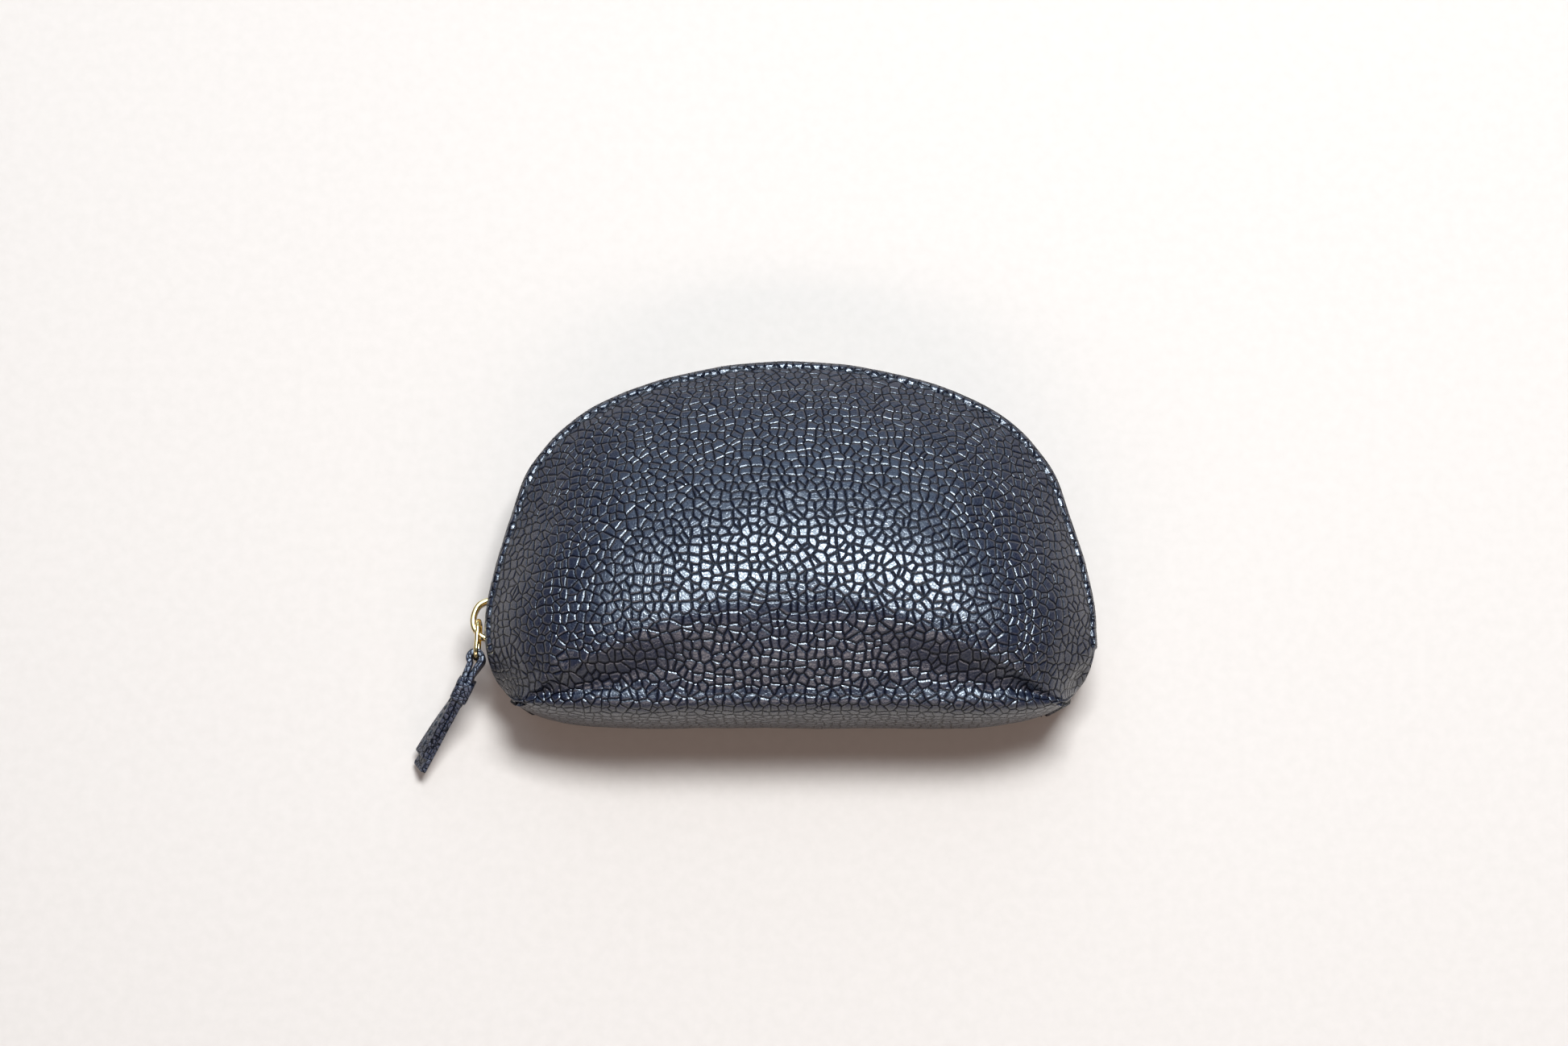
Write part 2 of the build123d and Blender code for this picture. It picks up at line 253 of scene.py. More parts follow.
# %% Draw the arch's outline
def smooth_line(points, count):
    """A smooth line through points, as count points evenly spaced along it."""
    points = np.array(points, float)
    ends = np.vstack([2 * points[0] - points[1], points, 2 * points[-1] - points[-2]])
    dense = []
    for i in range(1, len(ends) - 2):
        a, b, c, d = ends[i - 1:i + 3]
        for t in np.linspace(0, 1, 60, endpoint=False):
            dense.append(0.5 * (2 * b + (c - a) * t + (2 * a - 5 * b + 4 * c - d) * t * t
                                + (3 * b - a - 3 * c + d) * t ** 3))
    dense = np.array([*dense, points[-1]])
    run = np.r_[0, np.cumsum(np.linalg.norm(np.diff(dense, axis=0), axis=1))]
    even = np.linspace(0, run[-1], count)
    return np.column_stack([np.interp(even, run, dense[:, k]) for k in range(dense.shape[1])])


right_half = [(64.6, 2.2), (68.0, 7.5), (69.5, 17.7), (67.2, 31), (63.7, 42.8), (60.9, 51.3),
              (57.4, 57), (52.5, 62.6), (45.1, 68.1), (32.4, 73.6), (17.5, 77.2), (8.5, 78.4), (0, 78.8)]
both_halves = right_half + [(-x, y) for x, y in reversed(right_half[:-1])]
ARCH_STEPS = 420
arch = smooth_line(both_halves, ARCH_STEPS) * MM + np.array([0, base_y])
RIM_GAP = 5.7 * MM          # half the mouth, so that the slider passes between the rims
sewn = np.clip((arch[:, 1] - base_y - 3 * MM) / (7 * MM), 0, 1)
rim_gap = 0.8 * MM + (RIM_GAP - 0.8 * MM) * sewn * sewn * (3 - 2 * sewn)
print("arch length in mm", round(float(np.linalg.norm(np.diff(arch, axis=0), axis=1).sum() / MM), 1))

# %% Raise the domes over the outline
FOLD_Z, BACK_Z, TOP_Z = 36.8 * MM, 4.0 * MM, 46.2 * MM
FRONT_CORNER, BACK_CORNER = (61.2 * MM, base_y - 0.9 * MM), (58.5 * MM, base_y - 0.2 * MM)
MIDDLE = np.array([0, base_y + 27 * MM])
EDGE_STEPS, FOLD_STEPS = 9, 260
# distances in from the leather's edge at which the surface is sampled, closest at the stitch groove
NEAR_EDGE = np.array([0, 0.4, 0.9, 1.4, 1.75, 2.0, 2.2, 2.4, 2.65, 3.2, 4.2, 5.4, 6.8]) * MM


def ease(x, low, high):
    """A smooth step from 0 at low to 1 at high."""
    t = np.clip((x - low) / (high - low), 0, 1)
    return t * t * (3 - 2 * t)


def fold_line(side, count):
    """The fold between a panel and the base. Its ends are pinched down towards the zip."""
    u = np.linspace(-1, 1, count)
    corner, level = (FRONT_CORNER, FOLD_Z) if side > 0 else (BACK_CORNER, BACK_Z)
    dip = 9 * MM if side > 0 else -2 * MM
    middle_in = 1.2 * MM * (1 - u * u)
    return np.column_stack([corner[0] * u, corner[1] + middle_in, level - dip * np.abs(u) ** 5])


def outline(side):
    """The edge of the front (side 1) or back (side -1) panel: points, and how steep each ray ends."""
    rim = np.column_stack([arch, seam_z + side * rim_gap])
    fold = fold_line(side, FOLD_STEPS)
    left, right = fold[0], fold[-1]
    down = [rim[-1] + (left - rim[-1]) * t for t in np.linspace(0, 1, EDGE_STEPS + 2)[1:-1]]
    up = [right + (rim[0] - right) * t for t in np.linspace(0, 1, EDGE_STEPS + 2)[1:-1]]
    edge = np.vstack([rim, down, fold, up])
    steep = 2.3 + 3.0 * (1 - ease(edge[:, 1] - base_y, 2 * MM, 60 * MM))
    on_fold = slice(len(rim) + EDGE_STEPS, len(rim) + EDGE_STEPS + FOLD_STEPS)
    steep[on_fold] = 2.5 + 2.4 * np.abs(np.linspace(-1, 1, FOLD_STEPS)) ** 3
    return edge, steep


def spread(values, turns, inward):
    """Eases a row of edge values into the panel: the further in, the fewer of its waves are left."""
    order = np.argsort(turns)
    even = np.linspace(-math.pi, math.pi, 2048, endpoint=False)
    waves = np.fft.rfft(np.interp(even, turns[order], values[order], period=2 * math.pi))
    count = np.arange(len(waves))
    rows = [np.interp(turns, even, np.fft.irfft(waves * s ** count, 2048), period=2 * math.pi)
            for s in inward]
    return np.array(rows).T


def dome(side, top, rings):
    """Rays from the edge to the middle: an array [ray][ring] of points."""
    edge, steep = outline(side)
    share = 1 - np.linspace(0, 1, 240) ** 1.5
    turns = np.arctan2(edge[:, 1] - MIDDLE[1], edge[:, 0] - MIDDLE[0])
    level = spread(edge[:, 2], turns, share)
    level[:, 0] = edge[:, 2]
    power = spread(steep, turns, [0.9])
    flat = MIDDLE + (edge[:, None, :2] - MIDDLE) * share[None, :, None]
    lean = side * 7 * MM * ease(flat[:, :, 1] - base_y, 26 * MM, 92 * MM)
    rise = (1 - share[None, :] ** power) ** (1.0 if side > 0 else 0.7)
    height = level + (top - lean - level) * rise
    grid = []
    for line in np.dstack([flat, height]):
        run = np.r_[0, np.cumsum(np.linalg.norm(np.diff(line, axis=0), axis=1))]
        even = np.r_[NEAR_EDGE, np.linspace(NEAR_EDGE[-1], run[-1], rings)[1:]]
        grid.append(np.column_stack([np.interp(even, run, line[:, k]) for k in range(3)]))
    return np.array(grid)


front_grid = dome(1, TOP_Z, 72)
back_grid = dome(-1, 0.0, 40)
back_grid[:, :, 2] = np.maximum(back_grid[:, :, 2], 0.0)
print("front rays and rings", front_grid.shape[:2], "back", back_grid.shape[:2])


# %% [markdown]
# ## Folds and sags
# Soft leather is never a clean dome. It sinks a little between its seams, puckers along the stitching,
# and creases where the base corners pinch it. These are moves of the mesh, along the surface's normal.

# %% Add the hand of the leather
def push(grid, amount):
    """Moves each point of a grid along the surface's normal."""
    along = np.roll(grid, -1, 0) - np.roll(grid, 1, 0)
    inward = np.gradient(grid, axis=1)
    normal = np.cross(along, inward)
    length = np.linalg.norm(normal, axis=2, keepdims=True)
    normal = normal / np.maximum(length, 1e-12)
    normal *= np.sign((normal[:, 8:9, 2:3]).mean()) or 1
    return grid + normal * amount[:, :, None]


def soft_noise(grid, size, seed):
    """Smooth noise from -1 to 1 over a grid's points, with features of a given size."""
    shift = Vector((seed, 0, 0))
    values = [noise.noise(Vector(p) / size + shift) for p in grid.reshape(-1, 3)]
    return np.array(values).reshape(grid.shape[:2])


def pinch_folds(grid, corner, turn, seed):
    """Ridges that fan out of a pinched base corner and die away over 24 mm."""
    away = grid[:, :, :2] - np.array(corner)
    reach = np.linalg.norm(away, axis=2)
    angle = np.arctan2(away[:, :, 1], away[:, :, 0] * turn)
    wave = np.sin(angle * 9 + 6 * reach / (20 * MM) + seed)
    fade = ease(reach, 1 * MM, 5 * MM) * (1 - ease(reach, 9 * MM, 25 * MM))
    return wave * fade * (0.5 + 0.5 * np.sin(angle * 2 + seed))


GROOVE_AT = 2.2 * MM
inset = np.r_[NEAR_EDGE, np.full(front_grid.shape[1] - len(NEAR_EDGE), 1.0)]
groove = -0.55 * MM * np.exp(-((inset - GROOVE_AT) / (0.34 * MM)) ** 2)
margin = 0.25 * MM * np.exp(-((inset - 1.2 * MM) / (0.5 * MM)) ** 2)
ray = np.arange(len(front_grid))
on_arch = ((ray > 18) & (ray < ARCH_STEPS - 18)).astype(float)[:, None]
pucker = 1 + 0.35 * np.sin(ray * 0.9)[:, None] * np.exp(-(inset / (5 * MM)) ** 2)
move = on_arch * (groove + margin)[None, :] * pucker
move += 0.55 * MM * soft_noise(front_grid, 26 * MM, 3) * ease(inset, 1 * MM, 8 * MM)[None, :]
move += 0.14 * MM * soft_noise(front_grid, 6 * MM, 9)
move += 0.75 * MM * pinch_folds(front_grid, FRONT_CORNER, 1, 0.6)
move += 0.45 * MM * pinch_folds(front_grid, (-FRONT_CORNER[0], FRONT_CORNER[1]), -1, 2.2)
corner_reach = np.minimum(*[np.linalg.norm(front_grid[:, :, :2] - np.array([x, FRONT_CORNER[1]]), axis=2)
                            for x in (FRONT_CORNER[0], -FRONT_CORNER[0])])
move *= ease(corner_reach, 2 * MM, 8 * MM)
move *= on_arch + (1 - on_arch) * ease(inset, 0, 3 * MM)[None, :]
front_skin = push(front_grid, move)
back_move = on_arch * (groove + margin)[None, :back_grid.shape[1]] * 0.8
back_skin = push(back_grid, -back_move)
back_skin[:, :, 2] = np.maximum(back_skin[:, :, 2], 0.0)
print("front pushed by up to", round(float(np.abs(move).max() / MM), 2), "mm")


# %% Turn the grids into leather with a thickness
LEATHER = 1.4 * MM


def mesh_object(name, points, faces, finish):
    """A mesh object from points and faces, smooth shaded, with one material."""
    mesh = bpy.data.meshes.new(name)
    mesh.from_pydata([tuple(p) for p in points], [], faces)
    mesh.validate()
    for polygon in mesh.polygons:
        polygon.use_smooth = True
    made = bpy.data.objects.new(name, mesh)
    made.data.materials.append(finish)
    bpy.context.scene.collection.objects.link(made)
    return made


def ray_faces(rays, rings):
    """Quads between the neighbouring rays of a closed fan."""
    faces = []
    for i in range(rays):
        j = (i + 1) % rays
        for k in range(rings - 1):
            a, b = i * rings + k, j * rings + k
            faces.append((a, a + 1, b + 1, b))
    return faces


def thicken(made, thickness, inwards):
    """Gives a sheet its thickness and bakes the modifiers into the mesh."""
    solid = made.modifiers.new("thickness", "SOLIDIFY")
    solid.thickness = thickness
    solid.offset = inwards
    solid.use_quality_normals = True
    bake(made)
    return made


def bake(made):
    """Applies a piece's modifiers, so that its mesh is final."""
    bpy.context.view_layer.update()
    shape = bpy.data.meshes.new_from_object(made.evaluated_get(bpy.context.evaluated_depsgraph_get()))
    made.modifiers.clear()
    made.data = shape
    return made


def tidy_normals(made, up):
    """Merges doubled points and turns the faces so that a sheet faces up (1) or down (-1)."""
    form = bmesh.new()
    form.from_mesh(made.data)
    bmesh.ops.remove_doubles(form, verts=form.verts, dist=0.02 * MM)
    bmesh.ops.recalc_face_normals(form, faces=form.faces)
    total = sum(face.normal.z * face.calc_area() for face in form.faces)
    if total * up < 0:
        bmesh.ops.reverse_faces(form, faces=form.faces)
    form.to_mesh(made.data)
    form.free()
    for polygon in made.data.polygons:
        polygon.use_smooth = True
    return made


def panel(name, grid, up, finish, thickness, spots=None):
    """One half-moon panel from its grid of rays."""
    rays, rings = grid.shape[:2]
    made = mesh_object(name, grid.reshape(-1, 3), ray_faces(rays, rings), finish)
    if spots is not None:
        lay_on_hide(made, spots)
    tidy_normals(made, up)
    return thicken(made, thickness, -1)


print("leather thickness in mm", round(LEATHER / MM, 1))


# %% [markdown]
# ## Base and back
# The skin runs on without a seam from the front fold, round the base and under the back. The base bulges a
# little in its middle, and rolls over at the front fold, so a shadowed valley lies between it and the dome.

# %% Make the base and back leather
BULGE = 4.2 * MM
ACROSS, AROUND = FOLD_STEPS, 36


def base_grid(shrink):
    """Points of the base's skin, drawn in by shrink: [across][around], from the front fold to the back."""
    u = np.linspace(-1, 1, ACROSS)[:, None]
    turn = math.pi * np.linspace(0, 1, AROUND)[None, :]
    front, back = fold_line(1, ACROSS)[:, None, :], fold_line(-1, ACROSS)[:, None, :]
    grid = front + (back - front) * (0.5 - 0.5 * np.cos(turn))[:, :, None]
    out = np.sin(turn).clip(0, 1) ** 0.6
    grid[:, :, 1] += shrink - (BULGE * (1 - np.abs(u) ** 5) + 2.0 * MM * (1 - u ** 12)) * out
    grid[:, :, 0] += 2.0 * MM * u * np.abs(u) ** 4 * out
    return grid


def strip_faces(rows, columns):
    """Quads of an open grid."""
    return [(i * columns + k, (i + 1) * columns + k, (i + 1) * columns + k + 1, i * columns + k + 1)
            for i in range(rows - 1) for k in range(columns - 1)]


base = base_grid(0)
wobble = soft_noise(base, 18 * MM, 5) * 0.35 * MM + soft_noise(base, 4 * MM, 2) * 0.12 * MM
base[:, 1:-1, 1] += wobble[:, 1:-1]


def flattened(grid):
    """Where each point of a panel lay on the flat hide: at its true distance along its ray."""
    steps = np.linalg.norm(np.diff(grid, axis=1), axis=2)
    run = np.concatenate([np.zeros((len(grid), 1)), np.cumsum(steps, axis=1)], axis=1)
    way = grid[:, 0, :2] - MIDDLE
    way /= np.linalg.norm(way, axis=1, keepdims=True)
    spots = MIDDLE + way[:, None, :] * (run[:, -1:] - run)[:, :, None]
    return np.dstack([spots, np.zeros(spots.shape[:2])])


def lay_on_hide(made, spots):
    """Keeps the flat places on the mesh, so that the grain runs evenly over the formed leather."""
    store = made.data.attributes.new("hide", "FLOAT_VECTOR", "POINT")
    store.data.foreach_set("vector", spots.reshape(-1).astype(np.float32))


front_flat = flattened(front_skin)
fold_rays = slice(ARCH_STEPS + EDGE_STEPS, ARCH_STEPS + EDGE_STEPS + FOLD_STEPS)
around = np.cumsum(np.linalg.norm(np.diff(base, axis=1, prepend=base[:, :1]), axis=2), axis=1)
base_flat = np.repeat(front_flat[fold_rays, :1], AROUND, axis=1)
base_flat[:, :, 1] -= around


def corner_gusset(end, sign):
    """The pinched corner between the base's end and the end of the zip, and its place on the flat hide."""
    tip = np.array([sign * right_half[0][0] * MM, base_y + right_half[0][1] * MM, 0])
    tips = np.repeat(tip[None, :], AROUND, axis=0)
    tips[:, 2] = np.linspace(seam_z + rim_gap[0], seam_z - rim_gap[0], AROUND)
    steps = np.linspace(0, 1, EDGE_STEPS + 2)[:, None, None]
    shape = base[end][None] * (1 - steps) + tips[None] * steps
    reach = np.linalg.norm(shape - shape[:1], axis=2)
    spots = np.repeat(base_flat[end][None], len(steps), axis=0)
    spots[:, :, 0] += sign * reach
    return shape, spots


front_count = front_skin.shape[0] * front_skin.shape[1]
faces = ray_faces(*front_skin.shape[:2])
faces += [tuple(front_count + v for v in reversed(face)) for face in strip_faces(ACROSS, AROUND)]
points = [front_skin.reshape(-1, 3), base.reshape(-1, 3)]
spots = [front_flat.reshape(-1, 3), base_flat.reshape(-1, 3)]
for end, sign in ((0, -1), (-1, 1)):
    shape, places = corner_gusset(end, sign)
    start = sum(len(part) for part in points)
    faces += [tuple(start + v for v in face) for face in strip_faces(EDGE_STEPS + 2, AROUND)]
    points.append(shape.reshape(-1, 3))
    spots.append(places.reshape(-1, 3))
points = np.vstack(points)
front_leather = mesh_object("front_and_base_leather", points, faces, hide)
lay_on_hide(front_leather, np.vstack(spots))
tidy_normals(front_leather, 1)
thicken(front_leather, LEATHER, -1)
print("front and base leather points", len(front_leather.data.vertices))
back_leather = panel("back_leather", back_skin, -1, hide, LEATHER, flattened(back_skin))
# the pinched corner tips come in to the base line, and nothing lies below the table
for point in back_leather.data.vertices:
    point.co.y = max(point.co.y, BACK_CORNER[1])
    point.co.z = max(point.co.z, 0.0)
print("back leather points", len(back_leather.data.vertices))


# %% [markdown]
# ## Lining
# The lining is a thin twill bag, sewn in at the zip and hanging free inside the leather. It is the same
# surface drawn in by the leather's thickness and a little air, so it shows when the mouth is open.

# %% Make the lining
def drawn_in(grid, amount):
    """A panel's grid drawn in from the leather, keeping clear of it all over."""
    return push(grid, np.full(grid.shape[:2], -amount))


LINING_GAP, CLOTH = 2.3 * MM, 0.4 * MM
front_cloth = drawn_in(dome(1, TOP_Z, 30), LINING_GAP)[:, 5:]
back_cloth = drawn_in(dome(-1, 0.0, 30), -LINING_GAP)[:, 5:]
front_cloth += 0.35 * MM * soft_noise(front_cloth, 12 * MM, 4)[:, :, None]
front_lining = panel("front_lining_cloth", front_cloth, 1, twill, CLOTH)
back_lining = panel("back_lining_cloth", back_cloth, -1, twill, CLOTH)
base_cloth = base_grid(LINING_GAP) * np.array([0.95, 1, 0.82]) + np.array([0, 0, 3.6 * MM])
base_lining = mesh_object("base_lining_cloth", base_cloth.reshape(-1, 3), strip_faces(ACROSS, AROUND), twill)
tidy_normals(base_lining, 1)
thicken(base_lining, CLOTH, 0)
print("lining points", [len(cloth.data.vertices) for cloth in (front_lining, back_lining, base_lining)])


# %% [markdown]
# ## Topstitching
# A lockstitch in bonded thread runs 2.2 mm in from the leather's edge, ten stitches to the inch. Each
# stitch is a short arc of thread that dips into the leather at both ends and lies in its groove between.

# %% Sew the rims
STITCH_RING = int(np.argmin(np.abs(NEAR_EDGE - GROOVE_AT)))
STITCH_PITCH, STITCH_LENGTH, THREAD = 2.55 * MM, 1.95 * MM, 0.30 * MM


def tube(points, radii, sides, normal_hint):
    """Points and faces of a closed tube along points, with a radius at each."""
    made, faces = [], []
    for i, (point, radius) in enumerate(zip(points, radii)):
        along = (points[min(i + 1, len(points) - 1)] - points[max(i - 1, 0)]).normalized()
        out = (normal_hint - along * normal_hint.dot(along)).normalized()
        side = along.cross(out)
        for k in range(sides):
            turn = 2 * math.pi * k / sides
            made.append(point + (out * math.cos(turn) + side * math.sin(turn)) * radius)
    for i in range(len(points) - 1):
        for k in range(sides):
            a, b = i * sides + k, i * sides + (k + 1) % sides
            faces.append((a, b, b + sides, a + sides))
    faces.append(tuple(reversed(range(sides))))
    faces.append(tuple(range((len(points) - 1) * sides, len(points) * sides)))
    return made, faces


def seam(name, skin, side):
    """All the stitches along one rim as one mesh."""
    line = skin[20:ARCH_STEPS - 20, STITCH_RING]
    inner = skin[20:ARCH_STEPS - 20, STITCH_RING + 2]
    run = np.r_[0, np.cumsum(np.linalg.norm(np.diff(line, axis=0), axis=1))]
    count = int(run[-1] / STITCH_PITCH)
    points, faces = [], []
    for number in range(count):
        middle = (number + 0.5) * run[-1] / count
        path = []
        for t in np.linspace(-0.5, 0.5, 7):
            where = middle + t * STITCH_LENGTH
            spot = Vector([np.interp(where, run, line[:, k]) for k in range(3)])
            path.append(spot)
        across = Vector([np.interp(middle, run, inner[:, k]) for k in range(3)]) - path[3]
        out = (path[-1] - path[0]).cross(across).normalized()
        if out.z * side < 0:
            out.negate()
        lean = across.normalized() * random.uniform(0.02, 0.14) * MM
        path = [p + out * (0.20 * MM - 1.3 * MM * (abs(t) ** 2)) + lean * t * 2
                for p, t in zip(path, np.linspace(-0.5, 0.5, 7))]
        made, new = tube(path, [THREAD * r for r in (0.6, 0.95, 1, 1.03, 1, 0.95, 0.6)], 8, out)
        faces += [tuple(v + len(points) for v in face) for face in new]
        points += made
    print(name, count, "stitches")
    return mesh_object(name, points, faces, nylon)


front_thread = seam("front_stitches", front_skin, 1)
back_thread = seam("back_stitches", back_skin, -1)

# %% [markdown]
# ## The zip
# Two woven tapes are sewn under the leather's rims and turn to face each other across the mouth. Brass
# teeth are clamped to their corded edges. The chain lies on the circle that the slider runs on.

# %% Weave the tapes and clamp the teeth
def on_circle(angle, radius, z):
    """A point of the zip's circle."""
    return Vector((zip_centre.x + radius * math.cos(angle), zip_centre.y + radius * math.sin(angle), z))


tooth_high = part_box("back_zip_teeth")[1]
ZIP_RADIUS = tooth_high.y - zip_centre.y - 1.1 * MM
TAPE_EDGE, TOOTH_PITCH = 1.8 * MM, 2.8 * MM
FIRST_TOOTH, LAST_TOOTH = math.radians(4.2), math.radians(167.4)
TAPE_ENDS = (math.radians(-0.5), math.radians(180.5))


def tape(name, side, skin):
    """A ribbon from the chain's circle to the inside of the leather's rim."""
    rows = []
    inside = push(skin, np.full(skin.shape[:2], -side * (LEATHER + 0.3 * MM)))
    for i in range(14, ARCH_STEPS - 14):
        rim = Vector(skin[i, 0])
        angle = math.atan2(rim.y - zip_centre.y, rim.x - zip_centre.x)
        # the shift of 0.3 keeps angles just below zero from wrapping to a full turn
        if not TAPE_ENDS[0] < (angle + 0.3) % (2 * math.pi) - 0.3 < TAPE_ENDS[1]:
            continue
        chain = on_circle(angle, ZIP_RADIUS, seam_z + side * TAPE_EDGE)
        edge_in, under = Vector(inside[i, 3]), Vector(inside[i, 10])
        bend = chain.lerp(edge_in, 0.6) + Vector((0, 0, side * 0.3 * MM))
        rows.append([chain, chain.lerp(bend, 0.5), bend, edge_in, edge_in.lerp(under, 0.5), under])
    points = [p for row in rows for p in row]
    made = mesh_object(name, points, strip_faces(len(rows), 6), ribbon)
    solid = made.modifiers.new("thickness", "SOLIDIFY")
    solid.thickness, solid.offset = 0.5 * MM, 0
    return bake(made)


def tooth_shape(side):
    """One tooth: a clamp over the tape's edge, a waist, and a head that locks into the other side."""
    form = bmesh.new()
    low, high = -0.8 * MM, 2.9 * MM
    for start, end, wide, thick in ((low, 0.9 * MM, 1.25, 1.8), (0.7 * MM, high, 1.05, 2.3)):
        middle = Matrix.Translation((0, 0, side * (start + end) / 2))
        size = Matrix.Diagonal((thick * MM, wide * MM, end - start, 1))
        bmesh.ops.create_cube(form, size=1, matrix=middle @ size)
    bmesh.ops.bevel(form, geom=list(form.edges), offset=0.22 * MM, segments=2, affect="EDGES", profile=0.6)
    shape = [v.co.copy() for v in form.verts], [tuple(v.index for v in f.verts) for f in form.faces]
    form.free()
    return shape


def teeth(name, side, shift):
    """A row of teeth on the circle, joined into one mesh."""
    corners, sides = tooth_shape(side)
    step = TOOTH_PITCH / ZIP_RADIUS
    points, faces = [], []
    for number in range(int((LAST_TOOTH - FIRST_TOOTH) / step)):
        angle = FIRST_TOOTH + (number + shift) * step
        place = Matrix.Translation(on_circle(angle, ZIP_RADIUS, seam_z)) @ Matrix.Rotation(angle, 4, "Z")
        faces += [tuple(v + len(points) for v in face) for face in sides]
        points += [place @ corner for corner in corners]
    return mesh_object(name, points, faces, teeth_gold)


front_tape, back_tape = tape("front_tape", 1, front_skin), tape("back_tape", -1, back_skin)
front_teeth, back_teeth = teeth("front_teeth", 1, 0.25), teeth("back_teeth", -1, 0.75)


def stop(name, degrees, side, length):
    """A stop: a rounded clamp pressed over the tape's edge, on one side or (0) across both."""
    form = bmesh.new()
    bmesh.ops.create_cube(form, size=1, matrix=Matrix.Diagonal((1.9 * MM, 1.6 * MM, length, 1)))
    bmesh.ops.bevel(form, geom=list(form.edges), offset=0.35 * MM, segments=3, affect="EDGES", profile=0.5)
    angle = math.radians(degrees)
    spot = on_circle(angle, ZIP_RADIUS - 0.5 * MM, seam_z + side * 1.2 * MM)
    form.transform(Matrix.Translation(spot) @ Matrix.Rotation(angle, 4, "Z"))
    corners = [v.co.copy() for v in form.verts]
    sides = [tuple(v.index for v in f.verts) for f in form.faces]
    form.free()
    return mesh_object(name, corners, sides, teeth_gold)


front_stop = stop("front_top_clamp", 178.2, 1, 1.9 * MM)
back_stop = stop("back_top_clamp", 178.2, -1, 1.9 * MM)
end_stop = stop("bottom_clamp", 2.0, 0, 3.4 * MM)
print("teeth on each side", len(front_teeth.data.polygons) // len(tooth_shape(1)[1]))


# %% [markdown]
# ## Slider, crown and ring
# The slider is two die-cast plates joined by a post at the nose. A crown arches over the outer plate, and
# the pull's ring hangs in it. They are cast and tumbled, so every edge is rounded.

# %% Cast the slider
slider_angle = math.radians(173.1)      # where the slider sits when the zip is closed
slider_at = on_circle(slider_angle, ZIP_RADIUS, seam_z)
outward = Vector((math.cos(slider_angle), math.sin(slider_angle), 0))
nose = Vector((-outward.y, outward.x, 0))
up = Vector((0, 0, 1))
slider_frame = Matrix((
    (nose.x, up.x, outward.x, slider_at.x),
    (nose.y, up.y, outward.y, slider_at.y),
    (nose.z, up.z, outward.z, slider_at.z),
    (0, 0, 0, 1)))


def cast_piece(name, shapes, bevel, finish):
    """Flat shapes, each an outline in mm with a low and a high level, rounded and joined as one casting."""
    form = bmesh.new()
    for corners, low, high in shapes:
        base_face = form.faces.new([form.verts.new((x * MM, y * MM, low * MM)) for x, y in corners])
        grown = bmesh.ops.extrude_face_region(form, geom=[base_face])
        moved = [v for v in grown["geom"] if isinstance(v, bmesh.types.BMVert)]
        bmesh.ops.translate(form, verts=moved, vec=(0, 0, (high - low) * MM))
    bmesh.ops.recalc_face_normals(form, faces=form.faces)
    bmesh.ops.bevel(form, geom=list(form.edges), offset=bevel, segments=3, affect="EDGES", profile=0.5,
                    clamp_overlap=True)
    mesh = bpy.data.meshes.new(name)
    form.to_mesh(mesh)
    form.free()
    made = bpy.data.objects.new(name, mesh)
    made.data.materials.append(finish)
    for polygon in mesh.polygons:
        polygon.use_smooth = True
    bpy.context.scene.collection.objects.link(made)
    mesh.transform(slider_frame)
    return made


def shield(scale):
    """The slider plate's outline: a narrow tail that widens to its two shoulders, with a notched nose."""
    half = [(-5.5, 0), (-5.4, 2.6), (-4.9, 3.4), (0, 3.6), (2.2, 4.5), (4.0, 4.7), (5.2, 4.1), (5.5, 2.6),
            (4.9, 1.1), (4.8, 0)]
    return [(x * scale, y * scale) for x, y in half] + [(x * scale, -y * scale) for x, y in half[-2:0:-1]]


post = [(4.6, 0), (3.6, 1.3), (0.8, 1.1), (-0.3, 0), (0.8, -1.1), (3.6, -1.3)]
flanges = [[(-5.2, y), (0.2, y), (0.2, y + 0.7), (-5.2, y + 0.7)] for y in (-3.6, 2.9)]
slider = cast_piece("slider_casting", [
    (shield(1), 1.35, 2.35), (shield(1), -2.35, -1.35), (post, -1.4, 1.4),
    *[(f, 0.6, 1.4) for f in flanges], *[(f, -1.4, -0.6) for f in flanges]], 0.25 * MM, gold)
print("slider points", len(slider.data.vertices))


# %% Sweep the crown and the ring
def sweep(name, path, section, normals, finish, closed=False):
    """Sweeps a section (x along the normal, y across) over a path."""
    count, size = len(path), len(section)
    points, faces = [], []
    for i, point in enumerate(path):
        ahead = path[(i + 1) % count] if closed else path[min(i + 1, count - 1)]
        behind = path[i - 1] if closed else path[max(i - 1, 0)]
        along = (ahead - behind).normalized()
        out = (normals[i] - along * normals[i].dot(along)).normalized()
        side = along.cross(out)
        points += [point + out * x + side * y for x, y in section]
    for i in range(count if closed else count - 1):
        j = (i + 1) % count
        for k in range(size):
            m = (k + 1) % size
            faces.append((i * size + k, i * size + m, j * size + m, j * size + k))
    if not closed:
        faces += [tuple(reversed(range(size))), tuple(range((count - 1) * size, count * size))]
    made = mesh_object(name, points, faces, finish)
    made.data.update()
    form = bmesh.new()
    form.from_mesh(made.data)
    bmesh.ops.recalc_face_normals(form, faces=form.faces)
    form.to_mesh(made.data)
    form.free()
    return made


def rounded(thick, wide, corner, steps=4):
    """A rectangular section with rounded corners."""
    section = []
    for sx, sy, start in ((1, 1, 0), (-1, 1, 90), (-1, -1, 180), (1, -1, 270)):
        for k in range(steps + 1):
            turn = math.radians(start + 90 * k / steps)
            section.append((sx * (thick / 2 - corner) + corner * math.cos(turn),
                            sy * (wide / 2 - corner) + corner * math.sin(turn)))
    return section


